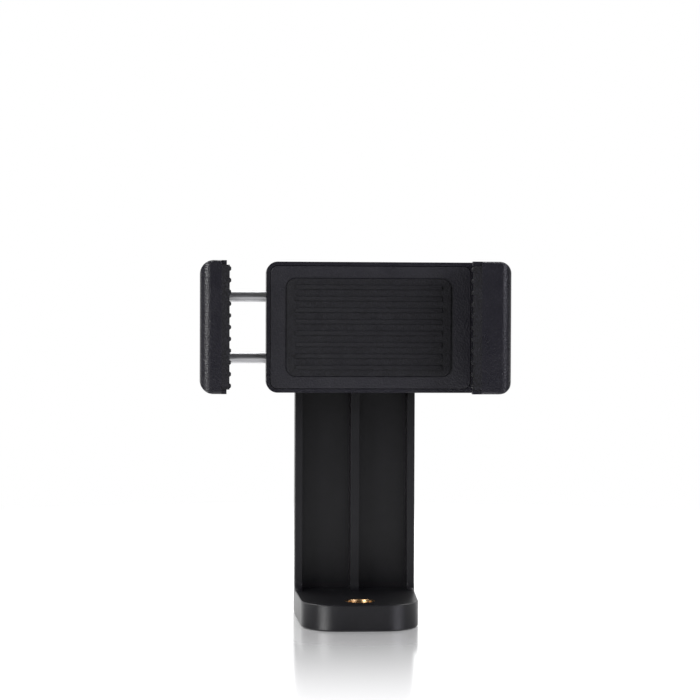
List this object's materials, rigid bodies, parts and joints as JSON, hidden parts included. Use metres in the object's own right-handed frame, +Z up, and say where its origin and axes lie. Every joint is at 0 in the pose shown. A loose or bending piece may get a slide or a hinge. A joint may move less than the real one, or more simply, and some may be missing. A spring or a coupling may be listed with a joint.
{
  "type": "tripod phone mount adapter",
  "caption": "Sprung phone clamp with ribbed rubber jaws that swivels on an L-shaped bracket with a brass tripod thread in its foot.",
  "frame": {"origin": "on the tripod thread's axis, in the plane of the foot's underside", "axes": "+Z up along the post, -Y towards the user (the side the screen faces), +X towards the fixed jaw"},
  "size_m": [0.0817, 0.051, 0.0958],
  "materials": {
    "bracket_plastic": "moulded, glossy",
    "shell_plastic": "moulded, fine grain",
    "cover_plastic": "moulded, fine grain",
    "knob_plastic": "moulded, satin",
    "pad_rubber": "ribbed, matt",
    "washer_plastic": "satin",
    "brass": "turned",
    "rod_steel": "ground and plated",
    "spring_steel": "drawn wire",
    "screw_steel": "blackened",
    "bolt_steel": "zinc plated"
  },
  "bodies": {
    "bracket_body": {"bracket": "bracket_plastic", "tripod_insert": "brass"},
    "clamp_body": {"clamp_housing": "shell_plastic", "front_cover": "cover_plastic", "back_pad": "pad_rubber", "fixed_jaw_pad": "pad_rubber", "cover_screws": "screw_steel", "pivot_bolt": "bolt_steel", "friction_washer": "washer_plastic", "spring_upper": "spring_steel", "spring_lower": "spring_steel"},
    "slider": {"sliding_jaw": "shell_plastic", "sliding_jaw_pad": "pad_rubber", "guide_rod_upper": "rod_steel", "guide_rod_lower": "rod_steel", "rod_washer_upper": "spring_steel", "rod_washer_lower": "spring_steel", "rod_clip_upper": "screw_steel", "rod_clip_lower": "screw_steel"},
    "pressure_washer": {"knob_washer": "bolt_steel"},
    "knob_body": {"knob": "knob_plastic", "knob_nut": "brass"}
  },
  "joints": [
    {"name": "clamp_swivel", "type": "hinge", "parent": "bracket_body", "child": "clamp_body", "pos_m": [0, 0.0241, 0.0784], "axis": [0, 1, 0], "continuous": true},
    {"name": "jaw_slide", "type": "slide", "parent": "clamp_body", "child": "slider", "axis": [-1, 0, 0], "range_m": [-0.0111, 0.0179], "stiffness_N_per_m": 400, "deforming": ["spring_upper", "spring_lower"]},
    {"name": "knob_travel", "type": "slide", "parent": "clamp_body", "child": "pressure_washer", "axis": [0, 1, 0], "range_m": [0, 0.00161]},
    {"name": "knob_turn", "type": "hinge", "parent": "pressure_washer", "child": "knob_body", "pos_m": [0, 0.0366, 0.0784], "axis": [0, 1, 0], "range_deg": [0, 720]}
  ],
  "couplings": [
    {"joint": "knob_travel", "follows": "knob_turn", "m_per_rad": 0.00012732}
  ]
}
